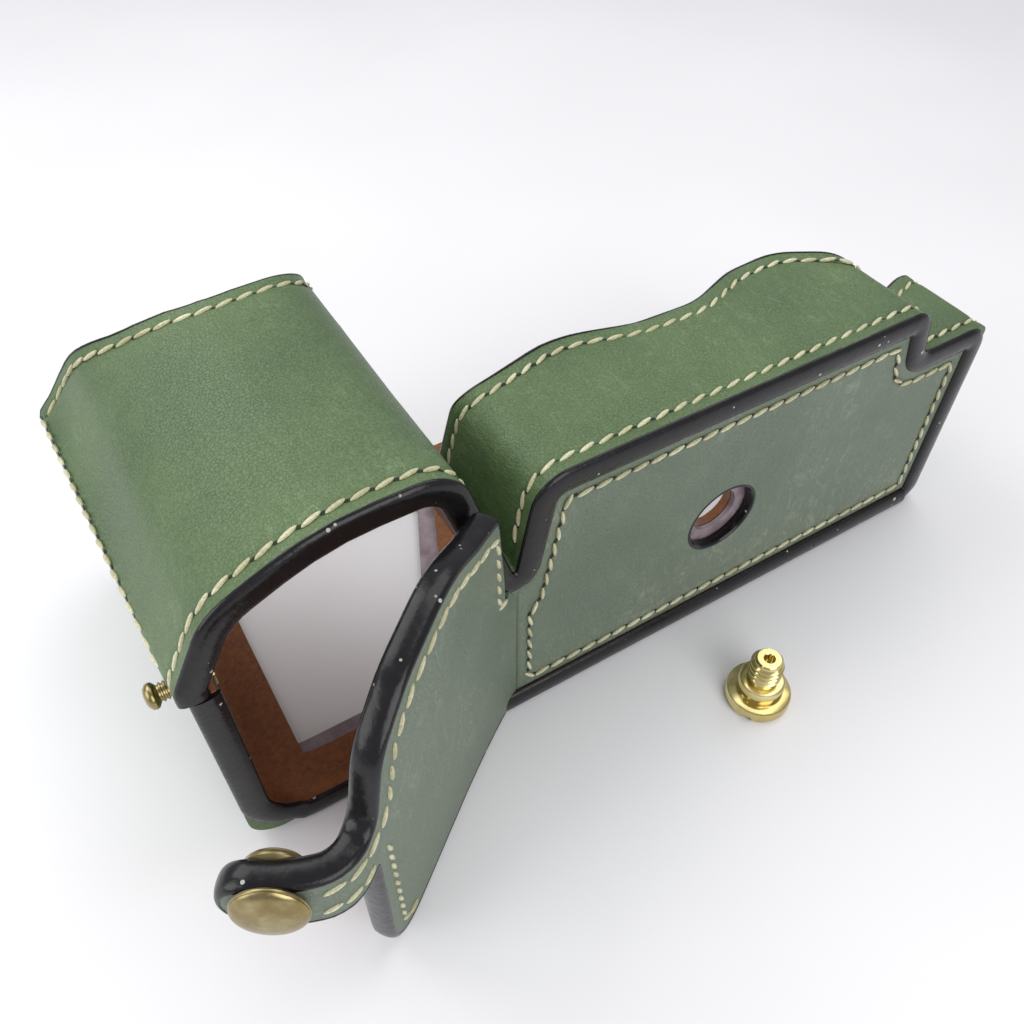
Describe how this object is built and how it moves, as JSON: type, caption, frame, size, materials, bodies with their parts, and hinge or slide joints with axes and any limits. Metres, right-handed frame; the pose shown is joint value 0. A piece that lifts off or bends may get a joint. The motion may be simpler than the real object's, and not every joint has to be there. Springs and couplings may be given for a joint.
{
  "type": "camera half case",
  "caption": "Leather half case for a rangefinder camera, with a deep hand grip, a battery door that snaps shut with a strap, and a loose tripod screw.",
  "frame": {"origin": "on the table plane, under the middle of the whole part's box as it lies on its back with the battery door open", "axes": "+Z out of the case's front, away from the table it lies on; +X along its length, from the grip to the other end; +Y from its bottom panel towards the camera's top"},
  "size_m": [0.1696, 0.109, 0.0707],
  "materials": {
    "green_leather": "waxed green leather with pale pull-up creases, black painted edges",
    "grey_green_leather": "the same leather, seen greyer and with a streaky grain",
    "brown_suede": "short brown suede",
    "board": "smooth grey stiffener board",
    "waxed_thread": "cream waxed linen thread",
    "old_brass": "antique brass plating, satin",
    "polished_brass": "turned and polished brass",
    "spring_steel": "bright spring wire"
  },
  "bodies": {
    "case": {"front_panel": "green_leather", "left_end_wall": "green_leather", "right_end_wall": "green_leather", "back_panel": "green_leather", "bottom_panel": "grey_green_leather", "door_fold": "grey_green_leather", "front_lining": "brown_suede", "left_end_lining": "brown_suede", "right_end_lining": "brown_suede", "back_lining": "brown_suede", "bottom_lining": "brown_suede", "back_near_thread": "brown_suede", "back_stiffener": "board", "bottom_board": "board", "grip_mouth_thread": "waxed_thread", "grip_far_thread": "waxed_thread", "grip_side_thread": "waxed_thread", "front_near_thread": "waxed_thread", "front_far_thread": "waxed_thread", "bottom_panel_thread": "waxed_thread", "snap_stud": "old_brass", "stud_washer": "old_brass"},
    "door": {"door_outer": "grey_green_leather", "door_lining": "brown_suede", "door_thread": "waxed_thread"},
    "strap": {"strap_outer": "green_leather", "strap_lining": "brown_suede", "strap_thread": "waxed_thread", "snap_cap": "old_brass", "snap_socket": "old_brass", "snap_spring": "spring_steel"},
    "screw": {"tripod_screw": "polished_brass"}
  },
  "joints": [
    {"name": "door_swing", "type": "hinge", "parent": "case", "child": "door", "pos_m": [-0.0246, -0.01957, 0], "axis": [0, 0, 1], "range_deg": [-34, 76]},
    {"name": "strap_flex", "type": "hinge", "parent": "door", "child": "strap", "pos_m": [-0.07098, -0.05327, 0], "axis": [0, 0, 1], "range_deg": [-29, 61]},
    {"name": "screw_lift", "type": "slide", "parent": "case", "child": "screw", "axis": [0, 0, 1], "range_m": [0, 0.06]}
  ]
}
